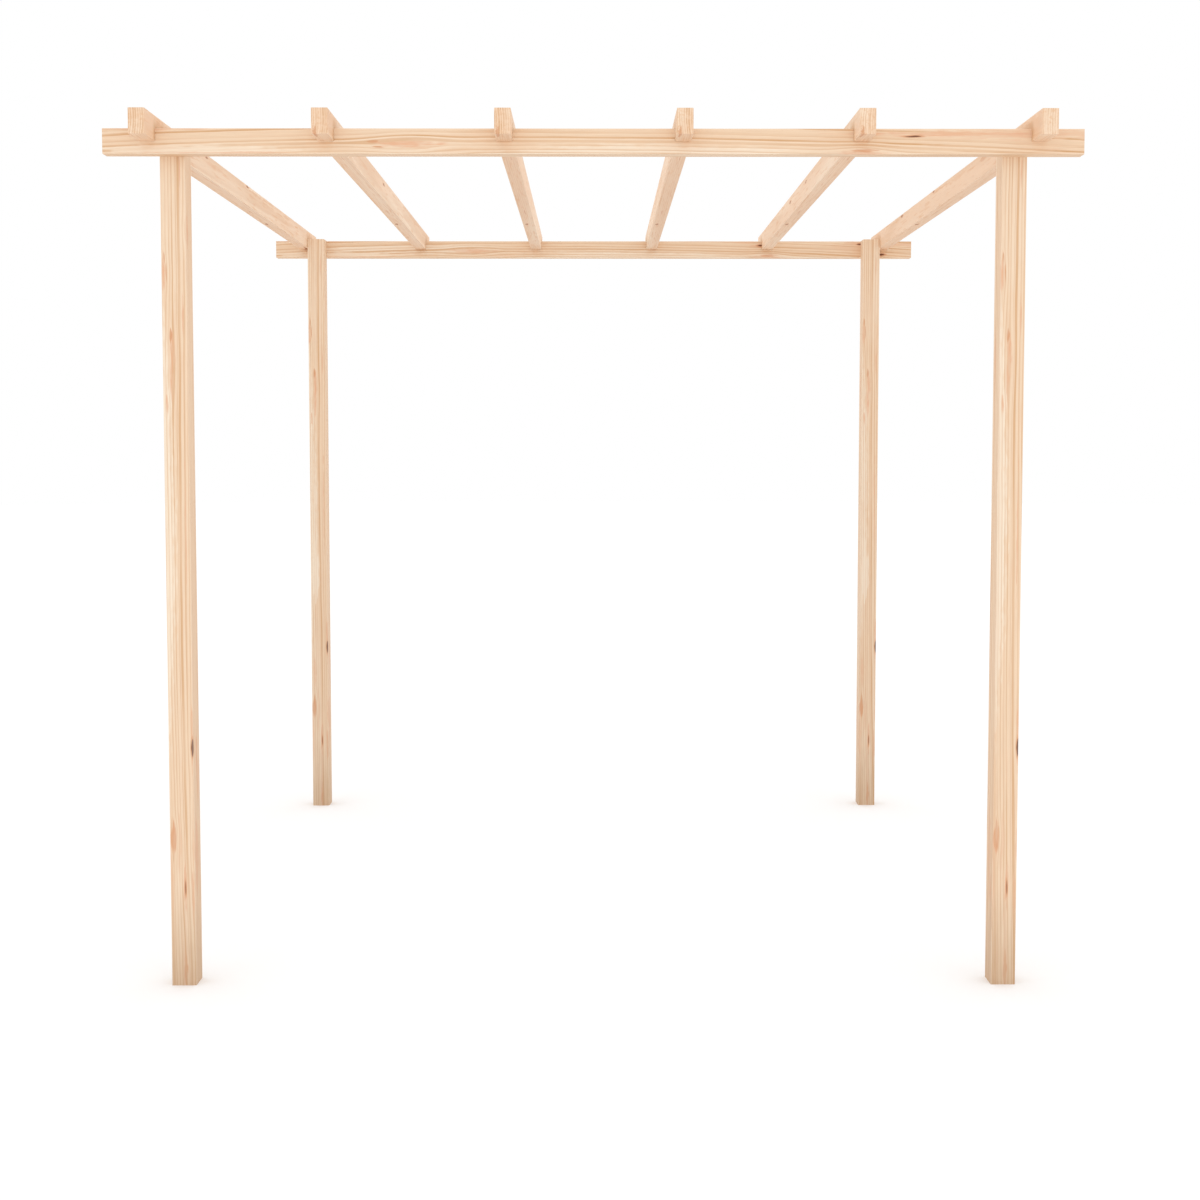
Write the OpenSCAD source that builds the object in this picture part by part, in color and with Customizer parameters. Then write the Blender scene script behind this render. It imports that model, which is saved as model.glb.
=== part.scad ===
// Free-standing timber pergola: four posts, a beam across the front and one across the back,
// and a row of rafters that are notched down over both beams.
// Millimetres. The origin is on the ground in the middle of the plan, and the front faces -Y.

/* [Plan] */
// Width over the outer faces of the posts
frame_w = 2400; // [1800:10:3600]
// Depth over the outer faces of the posts
frame_d = 2400; // [1800:10:3600]

/* [Posts] */
// Side of a square post
post_side = 69; // [50:1:120]
// Height of a post, and of the top of the beams
post_h = 2400; // [1900:10:3000]

/* [Beams] */
// Thickness of a beam
beam_t = 44; // [30:1:75]
// Height of a beam
beam_h = 69; // [60:1:150]
// Length of a beam that stands out past a post
beam_tail = 145; // [90:1:300]

/* [Rafters] */
// Number of rafters
rafter_count = 6; // [2:1:10]
// Thickness of a rafter
rafter_t = 44; // [30:1:75]
// Height of a rafter
rafter_h = 69; // [60:1:150]
// Length of a rafter that stands out past a beam
rafter_tail = 106; // [50:1:300]
// Depth of the notch that lets a rafter down over a beam
notch_depth = 34.5; // [5:0.5:45]
// Play between a notch and each face of the beam
notch_play = 0.5; // [0:0.1:2]

/* [Edges] */
// Radius of the eased long edges of every timber
arris_r = 1; // [0.5:0.5:6]

/* [Hidden] */
LEFT = -1;
RIGHT = 1;
FRONT = -1;
BACK = 1;
CUT_PAST = 1;
PALE_SOFTWOOD = [0.95, 0.84, 0.72];

beam_l = frame_w + 2 * beam_tail;
rafter_l = frame_d + 2 * (beam_t + rafter_tail);
rafter_bottom = post_h - notch_depth;
// The outer rafters run against the outer faces of the posts
outer_rafter_x = (frame_w + rafter_t) / 2;
rafter_pitch = 2 * outer_rafter_x / (rafter_count - 1);

POST_PLACES = [
    ["front_left_post", LEFT, FRONT],
    ["front_right_post", RIGHT, FRONT],
    ["back_left_post", LEFT, BACK],
    ["back_right_post", RIGHT, BACK]
];
BEAM_PLACES = [["front_beam", FRONT], ["back_beam", BACK]];
RAFTERS = [for (i = [1 : rafter_count]) str("rafter_", i)];

$fn = 48;

// Section of a planed timber, with its four corners eased
module planed_section(width, height) {
    square([width - 2 * arris_r, height], center = true);
    square([width, height - 2 * arris_r], center = true);
    for (x = [-1, 1], y = [-1, 1])
        translate([x * (width / 2 - arris_r), y * (height / 2 - arris_r)]) circle(arris_r);
}

// Post cut square at both ends, with its foot on the ground
module post(side_x, side_y) {
    color(PALE_SOFTWOOD)
        translate([side_x * (frame_w - post_side) / 2, side_y * (frame_d - post_side) / 2, 0])
            linear_extrude(post_h) planed_section(post_side, post_side);
}

// Beam against the outer faces of two posts, with its top level with theirs
module beam(side_y) {
    color(PALE_SOFTWOOD)
        translate([0, side_y * (frame_d + beam_t) / 2, post_h - beam_h / 2])
            rotate([0, 90, 0])
                linear_extrude(beam_l, center = true) planed_section(beam_h, beam_t);
}

// Notch across the underside of a rafter, seated on the top of the beam
module beam_notch(side_y) {
    notch_w = beam_t + 2 * notch_play;
    translate([-rafter_t / 2 - CUT_PAST, side_y * (frame_d + beam_t) / 2 - notch_w / 2, rafter_bottom - CUT_PAST])
        cube([rafter_t + 2 * CUT_PAST, notch_w, notch_depth + CUT_PAST]);
}

// Rafter number i, counted from the left
module rafter(i) {
    color(PALE_SOFTWOOD)
        translate([(i - 1) * rafter_pitch - outer_rafter_x, 0, 0])
            difference() {
                translate([0, 0, rafter_bottom + rafter_h / 2])
                    rotate([90, 0, 0])
                        linear_extrude(rafter_l, center = true) planed_section(rafter_t, rafter_h);
                for (side_y = [FRONT, BACK]) beam_notch(side_y);
            }
}

for (place = POST_PLACES) post(place[1], place[2]);
for (place = BEAM_PLACES) beam(place[1]);
for (i = [1 : rafter_count]) rafter(i);
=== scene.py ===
"""Looks of the free-standing timber pergola.

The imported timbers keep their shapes. This script gives each of them planed softwood with its own
growth rings, flames and knots, drives the screws of the frame into the faces that look away from
the front, and sets up the floor, the light and the camera.
"""

import logging
import math
import random
from dataclasses import dataclass, fields, replace
from enum import Enum
from typing import Iterable, Union

import bmesh
import bpy
from mathutils import Matrix, Vector


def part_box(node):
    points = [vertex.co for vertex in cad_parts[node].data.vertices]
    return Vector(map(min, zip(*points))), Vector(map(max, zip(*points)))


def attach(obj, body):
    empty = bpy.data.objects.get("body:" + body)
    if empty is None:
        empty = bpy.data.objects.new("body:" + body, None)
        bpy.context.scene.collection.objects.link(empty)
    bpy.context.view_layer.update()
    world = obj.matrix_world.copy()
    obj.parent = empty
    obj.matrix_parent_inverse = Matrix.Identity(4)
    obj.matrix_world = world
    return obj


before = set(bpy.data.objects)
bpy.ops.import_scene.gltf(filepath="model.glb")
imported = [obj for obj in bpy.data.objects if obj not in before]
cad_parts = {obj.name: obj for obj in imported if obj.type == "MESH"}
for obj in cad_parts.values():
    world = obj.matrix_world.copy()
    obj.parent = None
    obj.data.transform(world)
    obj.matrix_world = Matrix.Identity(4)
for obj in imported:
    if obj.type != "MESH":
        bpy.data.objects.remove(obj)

LOG = logging.getLogger("pergola")

MM = 0.001
BODY = "root"
POSTS = ("front_left_post", "front_right_post", "back_left_post", "back_right_post")
BEAMS = ("front_beam", "back_beam")

Pair = tuple[float, float]
Triple = tuple[float, float, float]
Colour = tuple[float, float, float, float]
ScrewPlace = tuple[Matrix, float]
Socket = bpy.types.NodeSocket
Feed = Union[float, list[float], Triple, Colour, Socket]

ALONG: Triple = (1.0, 0.0, 0.0)
ACROSS: Triple = (0.0, 1.0, 0.0)
UP: Triple = (0.0, 0.0, 1.0)


def srgb(red: int, green: int, blue: int) -> Colour:
    """Turns a colour as it shows on a screen into Blender's linear colour.

    Args:
        red: Red share, 0 to 255.
        green: Green share, 0 to 255.
        blue: Blue share, 0 to 255.

    Returns:
        The linear colour with full alpha.
    """
    shares = [value / 255 for value in (red, green, blue)]
    linear = [s / 12.92 if s <= 0.04045 else ((s + 0.055) / 1.055) ** 2.4 for s in shares]
    return (linear[0], linear[1], linear[2], 1.0)


def make_object(name: str, bm: bmesh.types.BMesh, materials: list[bpy.types.Material]) -> bpy.types.Object:
    """Turns a bmesh into an object of the scene, and frees the bmesh.

    Args:
        name: Name of the object and its mesh.
        bm: The finished shape.
        materials: Its materials in order.

    Returns:
        The object.
    """
    mesh = bpy.data.meshes.new(name)
    bm.to_mesh(mesh)
    bm.free()
    for material in materials:
        mesh.materials.append(material)
    made = bpy.data.objects.new(name, mesh)
    bpy.context.scene.collection.objects.link(made)
    return made


class Run(Enum):
    """The way a timber's length runs, as the turn that lays its grain along it."""

    ACROSS = (0.0, 0.0, 0.0)
    DEEP = (0.0, 0.0, math.pi / 2)
    UPRIGHT = (0.0, -math.pi / 2, 0.0)

    @property
    def direction(self) -> Triple:
        """The unit vector along the timber's length."""
        return {"ACROSS": ALONG, "DEEP": ACROSS, "UPRIGHT": UP}[self.name]


class Mark(Enum):
    """What a parting of the grain holds, as the share of it that its edge fades over.

    No two shares are the same, because an Enum takes members of one value as one.
    """

    FLAME = 0.8
    RESIN = 0.75
    KNOT = 0.6
    PIN = 0.7
    SAP = 0.5
    QUIET = 0.45


class Face(Enum):
    """A long face of a timber, as the way it looks in the timber's own directions across and up.

    NEAR is the front of a post or beam and the right side of a rafter. UPPER is the top of a level
    timber and the left side of a post.
    """

    NEAR = (-1, 0)
    FAR = (1, 0)
    UPPER = (0, 1)
    LOWER = (0, -1)


@dataclass(frozen=True)
class Eye:
    """A spot where the grain parts, in the timber's own directions and in millimetres.

    Attributes:
        mark: What the spot holds.
        place: Middle of the spot: along the length, across and up, from the timber's middle.
        half_size: Half its length, width and depth.
        parting: How far the grain gives way, from 0 to 1.
        strength: How much of its colour shows, from 0 to 1.
    """

    mark: Mark
    place: Triple
    half_size: Triple
    parting: float
    strength: float = 1.0


@dataclass(frozen=True)
class SoftwoodFinish:
    """Planed, untreated pale softwood."""

    earlywood: Colour = srgb(253, 236, 214)
    blush: Colour = srgb(246, 219, 190)
    latewood: Colour = srgb(213, 161, 109)
    flame: Colour = srgb(234, 184, 149)
    resin: Colour = srgb(219, 160, 119)
    knot_rim: Colour = srgb(188, 132, 98)
    knot: Colour = srgb(116, 74, 54)
    end_tint: Colour = srgb(254, 255, 255)
    # Painted shade that darkens the feet of the posts, where the ground would shade them.
    damp_tint: Colour = srgb(231, 226, 220)
    # Painted shade that darkens the sides of a timber beside the timbers that meet it.
    joint_tint: Colour = srgb(232, 222, 205)
    # Lightens the rubbed edges, partly as wear and partly as a painted highlight.
    burnish: Colour = srgb(252, 234, 211)
    flecks: float = 0.2
    wander: float = 10.0 * MM
    specular: float = 0.28
    bump_strength: float = 0.35
    bump_depth: float = 0.5 * MM

    def colours(self) -> dict[str, Colour]:
        """Gives its colours by the names of the planed_face group's inputs."""
        return {f"{f.name}_colour": getattr(self, f.name) for f in fields(self) if f.type == Colour}


@dataclass(frozen=True)
class ZincFinish:
    """Bright zinc plate on a screw head, dulled a little in the open."""

    bright: Colour = srgb(214, 212, 204)
    dull: Colour = srgb(158, 156, 150)
    # A dark zinc that paints the shade of a deep recess into the shallow drive.
    recess: Colour = srgb(58, 57, 55)
    metallic: float = 0.9
    bump_strength: float = 0.3
    bump_depth: float = 0.05 * MM


class Graph:
    """Adds nodes to one node tree and links them."""

    def __init__(self, tree: bpy.types.NodeTree) -> None:
        """Keeps the tree that the nodes go into."""
        self.tree = tree

    def node(self, kind: str, **settings: object) -> bpy.types.Node:
        """Adds a node.

        Args:
            kind: Blender's name of the node type.
            **settings: Properties of the node.

        Returns:
            The new node.
        """
        made = self.tree.nodes.new(kind)
        for name, value in settings.items():
            setattr(made, name, value)
        return made

    def feed(self, socket: Socket, value: Feed) -> None:
        """Links an input to another node's output, or sets it to a constant.

        Args:
            socket: The input.
            value: An output to link, or the constant.
        """
        if isinstance(value, bpy.types.NodeSocket):
            self.tree.links.new(value, socket)
        else:
            socket.default_value = value

    def math(self, operation: str, *values: Feed) -> Socket:
        """Adds a Math node.

        Args:
            operation: Blender's name of the operation.
            *values: Its inputs in order.

        Returns:
            The result.
        """
        made = self.node("ShaderNodeMath", operation=operation)
        for socket, value in zip(made.inputs, values):
            self.feed(socket, value)
        return made.outputs[0]

    def vector(self, operation: str, *values: Feed) -> Socket:
        """Adds a Vector Math node.

        Args:
            operation: Blender's name of the operation.
            *values: Its inputs in order; for SCALE the second one is the factor.

        Returns:
            The vector, or the value of an operation that gives one.
        """
        made = self.node("ShaderNodeVectorMath", operation=operation)
        sockets = [made.inputs[0], made.inputs["Scale"]] if operation == "SCALE" else made.inputs
        for socket, value in zip(sockets, values):
            self.feed(socket, value)
        return made.outputs["Value" if operation in ("LENGTH", "DOT_PRODUCT") else "Vector"]

    def part(self, vector: Socket, direction: Triple) -> Socket:
        """Gives the part of a vector that runs one way.

        A Separate XYZ node would keep all three parts in the shader's small memory, which a timber
        with many knots would then fill.

        Args:
            vector: The vector.
            direction: The unit vector of that way.

        Returns:
            The length of the part.
        """
        return self.vector("DOT_PRODUCT", vector, direction)

    def noise(self, place: Feed, waves: Triple, detail: float = 1.0) -> Socket:
        """Adds noise that is stretched along the grain.

        Args:
            place: Where it is read.
            waves: Waves in a metre, along, across and up.
            detail: Finer layers.

        Returns:
            The noise, from 0 to 1.
        """
        made = self.node("ShaderNodeTexNoise", noise_dimensions="3D")
        self.feed(made.inputs["Vector"], self.vector("MULTIPLY", place, waves))
        self.feed(made.inputs["Scale"], 1.0)
        self.feed(made.inputs["Detail"], detail)
        return made.outputs[0]

    def sway(self, place: Feed, waves: Triple, detail: float = 1.0) -> Socket:
        """Adds such noise that swings about 0, by a half at most."""
        return self.math("SUBTRACT", self.noise(place, waves, detail), 0.5)

    def step(self, value: Feed, start: Feed, end: Feed, low: float = 0.0, high: float = 1.0) -> Socket:
        """Adds a smooth step.

        Args:
            value: What is compared.
            start: Where the step begins.
            end: Where it is complete.
            low: Result before the step.
            high: Result after it.

        Returns:
            The stepped value.
        """
        made = self.node("ShaderNodeMapRange", interpolation_type="SMOOTHSTEP")
        given = {"Value": value, "From Min": start, "From Max": end, "To Min": low, "To Max": high}
        for name, feed in given.items():
            self.feed(made.inputs[name], feed)
        return made.outputs[0]

    def blend(self, factor: Feed, first: Feed, second: Feed, mode: str = "MIX") -> Socket:
        """Adds a colour mix.

        Args:
            factor: Share of the second colour.
            first: Colour at a factor of 0.
            second: Colour at a factor of 1.
            mode: Blender's name of the blend mode.

        Returns:
            The mixed colour.
        """
        made = self.node("ShaderNodeMix", data_type="RGBA", blend_type=mode)
        colours = [s for s in made.inputs if s.type == "RGBA"]
        self.feed(made.inputs[0], factor)
        self.feed(colours[0], first)
        self.feed(colours[1], second)
        return next(s for s in made.outputs if s.type == "RGBA")

    def place(self, group: bpy.types.NodeTree, **inputs: Feed) -> bpy.types.Node:
        """Places a node group with its own values.

        Args:
            group: The group.
            **inputs: Values by input name in small letters, with _ for a space.

        Returns:
            The group node.
        """
        made = self.node("ShaderNodeGroup", node_tree=group)
        for name, value in inputs.items():
            self.feed(made.inputs[name.replace("_", " ").title()], value)
        return made


class GroupGraph(Graph):
    """A shader node group with named inputs and outputs."""

    KINDS = {"value": "NodeSocketFloat", "vector": "NodeSocketVector", "colour": "NodeSocketColor"}

    def __init__(self, name: str, inputs: dict[str, str], outputs: dict[str, str]) -> None:
        """Makes the group and its sockets.

        Args:
            name: Name of the group.
            inputs: Kind of each input by its name.
            outputs: Kind of each output by its name.
        """
        super().__init__(bpy.data.node_groups.new(name, "ShaderNodeTree"))
        for way, sockets in (("INPUT", inputs), ("OUTPUT", outputs)):
            for socket_name, kind in sockets.items():
                self.tree.interface.new_socket(socket_name, in_out=way, socket_type=self.KINDS[kind])
        self._entry = self.node("NodeGroupInput")
        self._exit = self.node("NodeGroupOutput")

    def given(self, name: str) -> Socket:
        """Gives one of the group's inputs."""
        return self._entry.outputs[name]

    def give(self, name: str, value: Socket) -> None:
        """Links one of the group's outputs."""
        self.feed(self._exit.inputs[name], value)


class Surface(Graph):
    """The nodes of one new material round its shader."""

    def __init__(self, name: str) -> None:
        """Makes the material.

        Args:
            name: Name of the material.
        """
        self.material = bpy.data.materials.new(name)
        self.material.use_nodes = True
        super().__init__(self.material.node_tree)
        self.shader = self.tree.nodes["Principled BSDF"]

    def coat(self, look: bpy.types.Node, bump_strength: float, bump_depth: float) -> None:
        """Gives the shader the colour, the roughness and the bump that a group puts out.

        Args:
            look: The group node, with the outputs Colour, Roughness and Height.
            bump_strength: Strength of the bump, from 0 to 1.
            bump_depth: Depth of the bump in metres.
        """
        bump = self.node("ShaderNodeBump")
        self.feed(bump.inputs["Strength"], bump_strength)
        self.feed(bump.inputs["Distance"], bump_depth)
        self.feed(bump.inputs["Height"], look.outputs["Height"])
        self.feed(self.shader.inputs["Base Color"], look.outputs["Colour"])
        self.feed(self.shader.inputs["Roughness"], look.outputs["Roughness"])
        self.feed(self.shader.inputs["Normal"], bump.outputs["Normal"])


class SoftwoodGroups:
    """The effects that all softwood timbers share, each built once as a node group.

    Waves are counted in a metre, along the grain, across and up. A pair is where a step starts
    and ends, or what it gives before and after.
    """

    ACROSS_ONLY = (0.0, 1.0, 1.0)
    NOWHERE = (0.0, 0.0, 0.0)

    # Parting of the grain round a spot
    PARTING_FADE = -0.32
    RAGGED_SHARE = 2.4
    FEATHER_OUT = 0.4
    FEATHER_IN = -0.8
    HALO_SPREAD = 2.2

    # Growth rings
    SLOW_WAVES = (0.9, 9.0, 9.0)
    QUICK_WAVES = (5.0, 38.0, 38.0)
    QUICK_SHARE = 0.22
    FEATHER_WAVES = (16.0, 620.0, 620.0)
    FEATHER_SHARE = 0.2
    UNEVEN_PACE = 0.31
    UNEVEN_SHARE = 1.1
    YEAR_STRENGTH = (0.6, 1.0)
    FADE_WAVES = (2.4, 75.0, 75.0)
    FADE = (0.32, 0.62)
    FADED_STRENGTH = (0.55, 1.0)
    YEAR_DARKENS = (0.08, 0.76)
    YEAR_ENDS = (1.0, 0.84)
    CLOUD_WAVES = (0.8, 14.0, 14.0)
    HEART_RISE = 4.0
    BLUSHED = (0.3, 0.7)
    FIBRE_WAVES = (22.0, 900.0, 900.0)
    FLECK_WAVES = (9.0, 150.0, 150.0)
    FLECKED = (0.53, 0.7)

    # Rubbed edges with wear and painted highlight, and painted shade beside joints
    WEAR_AND_HIGHLIGHT_WAVES = (7.0, 60.0, 60.0)
    LEAST_WEAR_AND_HIGHLIGHT = 0.4
    STAIN_WAVES = (45.0, 45.0, 45.0)
    LEAST_STAIN = 0.5

    # Planed face
    FLAME_CLEARS = -0.7
    QUIET_CLEARS = -0.75
    STREAKED = (0.3, 0.7)
    STREAK_STRENGTH = (0.5, 1.0)
    FIBRE_SHADE = 0.16
    SHADE_LEVEL = 0.97
    RIM_SHOWS = (0.0, 0.6)
    KNOT_SHOWS = (0.4, 1.0)
    BURNISH_SHARE = 0.3
    ROUGHNESS = 0.6
    ROUGHER_FIBRE = 0.2
    SMOOTHER_LATEWOOD = -0.08
    ROUGHER_END = 0.16
    FIBRE_HEIGHT = 0.5
    LATEWOOD_HEIGHT = 0.5
    KNOT_HEIGHT = 0.4
    SAW_WAVES = (0.0, 45.0, 800.0)

    def __init__(self) -> None:
        """Builds the groups."""
        self.eye = self._grain_eye()
        self.rings = self._growth_rings()
        self.arris = self._arris_wear_and_highlight()
        self.stain = self._joint_shade_group()
        self.planed = self._planed_face()

    def _grain_eye(self) -> bpy.types.NodeTree:
        """Builds the group that parts the grain round one spot, and masks the spot and a halo round it.

        Returns:
            The group.
        """
        g = GroupGraph("grain_eye",
                       {"Grain": "vector", "Ragged": "value", "Centre": "vector", "Half Size": "vector",
                        "Parting": "value", "Feather": "value"},
                       {"Grain": "vector", "Mask": "value", "Halo": "value"})
        feather = g.given("Feather")
        away = g.vector("SUBTRACT", g.given("Grain"), g.given("Centre"))
        shares = g.vector("DIVIDE", away, g.given("Half Size"))
        along = g.part(shares, ALONG)
        belly = g.vector("LENGTH", g.vector("MULTIPLY", shares, self.ACROSS_ONLY))
        reach = g.math("MULTIPLY_ADD", along, along, belly)
        fade = g.math("EXPONENT", g.math("MULTIPLY", g.math("POWER", reach, 2.0), self.PARTING_FADE))
        push = g.math("MULTIPLY", fade, g.given("Parting"))
        sideways = g.vector("MULTIPLY", away, self.ACROSS_ONLY)
        g.give("Grain", g.vector("SUBTRACT", g.given("Grain"), g.vector("SCALE", sideways, push)))
        raggedness = g.math("MULTIPLY", feather, self.RAGGED_SHARE)
        edge = g.math("MULTIPLY_ADD", g.given("Ragged"), raggedness, reach)
        outer = g.math("MULTIPLY_ADD", feather, self.FEATHER_OUT, 1.0)
        inner = g.math("MULTIPLY_ADD", feather, self.FEATHER_IN, 1.0)
        g.give("Mask", g.step(edge, outer, inner))
        g.give("Halo", g.step(g.math("DIVIDE", edge, self.HALO_SPREAD), outer, inner))
        return g.tree

    def _growth_rings(self) -> bpy.types.NodeTree:
        """Builds the group that cuts the yearly rings round a leaning, wandering pith.

        Returns:
            The group.
        """
        g = GroupGraph("growth_rings",
                       {"Grain": "vector", "Seed": "vector", "Pith": "vector", "Lean": "vector",
                        "Bow": "vector", "Ring Width": "value", "Wander": "value", "Blush": "value"},
                       {"Latewood": "value", "Tone": "value", "Fibre": "value", "Fleck": "value"})
        grain = g.given("Grain")
        seeded = g.vector("ADD", grain, g.given("Seed"))
        along = g.part(grain, ALONG)
        drift = g.vector("ADD", g.given("Lean"), g.vector("SCALE", g.given("Bow"), along))
        pith = g.vector("ADD", g.given("Pith"), g.vector("SCALE", drift, along))
        outward = g.vector("MULTIPLY", g.vector("SUBTRACT", grain, pith), self.ACROSS_ONLY)
        from_pith = g.vector("LENGTH", outward)
        stray = g.math("MULTIPLY_ADD", g.sway(seeded, self.QUICK_WAVES), self.QUICK_SHARE,
                       g.sway(seeded, self.SLOW_WAVES))
        radius = g.math("MULTIPLY_ADD", stray, g.given("Wander"), from_pith)
        count = g.math("DIVIDE", radius, g.given("Ring Width"))
        uneven_years = g.node("ShaderNodeTexNoise", noise_dimensions="1D")
        g.feed(uneven_years.inputs["W"], g.math("MULTIPLY", count, self.UNEVEN_PACE))
        g.feed(uneven_years.inputs["Detail"], 1.0)
        uneven = g.math("SUBTRACT", uneven_years.outputs[0], 0.5)
        count = g.math("MULTIPLY_ADD", uneven, self.UNEVEN_SHARE, count)
        count = g.math("MULTIPLY_ADD", g.sway(seeded, self.FEATHER_WAVES), self.FEATHER_SHARE, count)
        share = g.math("FRACT", count)
        number = g.math("ADD", g.math("FLOOR", count), g.part(g.given("Seed"), ALONG))
        year = g.node("ShaderNodeTexWhiteNoise", noise_dimensions="1D")
        g.feed(year.inputs["W"], number)
        strength = g.step(year.outputs["Value"], 0.0, 1.0, *self.YEAR_STRENGTH)
        fading = g.step(g.noise(seeded, self.FADE_WAVES), *self.FADE, *self.FADED_STRENGTH)
        line = g.math("MULTIPLY", g.step(share, *self.YEAR_DARKENS), g.step(share, *self.YEAR_ENDS))
        g.give("Latewood", g.math("MULTIPLY", line, g.math("MULTIPLY", strength, fading)))
        cloudy = g.math("ADD", g.noise(seeded, self.CLOUD_WAVES, 2.0), g.given("Blush"))
        heart = g.math("SUBTRACT", g.vector("LENGTH", g.given("Pith")), from_pith)
        g.give("Tone", g.step(g.math("MULTIPLY_ADD", heart, self.HEART_RISE, cloudy), *self.BLUSHED))
        g.give("Fibre", g.noise(seeded, self.FIBRE_WAVES, 2.0))
        g.give("Fleck", g.step(g.noise(seeded, self.FLECK_WAVES, 2.0), *self.FLECKED))
        return g.tree

    def _arris_wear_and_highlight(self) -> bpy.types.NodeTree:
        """Builds the group that finds the long edges of a timber, lightened partly as wear and partly as a
        painted highlight.

        Returns:
            The group.
        """
        g = GroupGraph("arris_wear_and_highlight", {"Grain": "vector", "Half Section": "vector", "Reach": "value"},
                       {"Mask": "value"})
        inside = g.vector("SUBTRACT", g.given("Half Section"), g.vector("ABSOLUTE", g.given("Grain")))
        patchy = g.noise(g.given("Grain"), self.WEAR_AND_HIGHLIGHT_WAVES, 2.0)
        ragged = g.math("MULTIPLY", g.given("Reach"), g.math("ADD", patchy, self.LEAST_WEAR_AND_HIGHLIGHT))
        nearest = g.math("MAXIMUM", g.part(inside, ACROSS), g.part(inside, UP))
        g.give("Mask", g.step(nearest, ragged, 0.0))
        return g.tree

    def _joint_shade_group(self) -> bpy.types.NodeTree:
        """Builds the group that finds where painted shade goes beside a timber that meets this one.

        Returns:
            The group.
        """
        g = GroupGraph("joint_stain",
                       {"Place": "vector", "Centre": "vector", "Half Size": "vector", "Reach": "value"},
                       {"Mask": "value"})
        away = g.vector("ABSOLUTE", g.vector("SUBTRACT", g.given("Place"), g.given("Centre")))
        outside = g.vector("MAXIMUM", g.vector("SUBTRACT", away, g.given("Half Size")), self.NOWHERE)
        patchy = g.noise(g.given("Place"), self.STAIN_WAVES, 2.0)
        ragged = g.math("MULTIPLY", g.given("Reach"), g.math("ADD", patchy, self.LEAST_STAIN))
        g.give("Mask", g.step(g.vector("LENGTH", outside), ragged, 0.0))
        return g.tree

    def _planed_face(self) -> bpy.types.NodeTree:
        """Builds the group that colours a planed face and its sawn ends.

        Returns:
            The group.
        """
        values = ("Latewood", "Tone", "Fibre", "Flame", "Resin", "Knot", "Sap", "Quiet", "End", "Arris",
                  "Damp", "Stain", "Contrast", "End Contrast")
        colours = [name.replace("_", " ").title() for name in SoftwoodFinish().colours()]
        g = GroupGraph("planed_face",
                       {"Grain": "vector", **dict.fromkeys(values, "value"),
                        **dict.fromkeys(colours, "colour")},
                       {"Colour": "colour", "Roughness": "value", "Height": "value"})
        fibre = g.math("SUBTRACT", g.given("Fibre"), 0.5)
        more = g.math("SUBTRACT", g.given("End Contrast"), g.given("Contrast"))
        contrast = g.math("MULTIPLY_ADD", g.given("End"), more, g.given("Contrast"))
        clear = g.math("MULTIPLY", g.math("MULTIPLY_ADD", g.given("Flame"), self.FLAME_CLEARS, 1.0),
                       g.math("MULTIPLY_ADD", g.given("Quiet"), self.QUIET_CLEARS, 1.0))
        late = g.math("MULTIPLY", g.math("MULTIPLY", g.given("Latewood"), clear), contrast)
        tone = g.math("MULTIPLY", g.given("Tone"), g.math("SUBTRACT", 1.0, g.given("Sap")))
        streaks = g.step(g.given("Fibre"), *self.STREAKED, *self.STREAK_STRENGTH)
        shade = g.math("MULTIPLY_ADD", fibre, self.FIBRE_SHADE, self.SHADE_LEVEL)
        wood = g.blend(tone, g.given("Earlywood Colour"), g.given("Blush Colour"))
        wood = g.blend(g.math("MULTIPLY", g.given("Flame"), streaks), wood, g.given("Flame Colour"))
        wood = g.blend(late, wood, g.given("Latewood Colour"))
        wood = g.blend(g.math("MULTIPLY", g.given("Resin"), streaks), wood, g.given("Resin Colour"))
        wood = g.blend(1.0, wood, shade, "MULTIPLY")
        wood = g.blend(g.step(g.given("Knot"), *self.RIM_SHOWS), wood, g.given("Knot Rim Colour"))
        wood = g.blend(g.step(g.given("Knot"), *self.KNOT_SHOWS), wood, g.given("Knot Colour"))
        wood = g.blend(g.given("End"), wood, g.given("End Tint Colour"), "MULTIPLY")
        # The rubbed edges lighten partly as wear and partly as a painted highlight.
        burnished_and_highlit = g.math("MULTIPLY", g.given("Arris"), self.BURNISH_SHARE)
        wood = g.blend(burnished_and_highlit, wood, g.given("Burnish Colour"))
        # Painted shade on the feet of the posts.
        wood = g.blend(g.given("Damp"), wood, g.given("Damp Tint Colour"), "MULTIPLY")
        # Painted shade beside the timbers that meet this one.
        wood = g.blend(g.given("Stain"), wood, g.given("Joint Tint Colour"), "MULTIPLY")
        g.give("Colour", wood)
        rough = g.math("MULTIPLY_ADD", fibre, self.ROUGHER_FIBRE, self.ROUGHNESS)
        rough = g.math("MULTIPLY_ADD", late, self.SMOOTHER_LATEWOOD, rough)
        g.give("Roughness", g.math("MULTIPLY_ADD", g.given("End"), self.ROUGHER_END, rough))
        height = g.math("MULTIPLY", late, self.LATEWOOD_HEIGHT)
        height = g.math("MULTIPLY_ADD", fibre, self.FIBRE_HEIGHT, height)
        height = g.math("MULTIPLY_ADD", g.given("Knot"), self.KNOT_HEIGHT, height)
        saw_marks = g.sway(g.given("Grain"), self.SAW_WAVES)
        g.give("Height", g.math("MULTIPLY_ADD", g.given("End"), saw_marks, height))
        return g.tree


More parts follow.
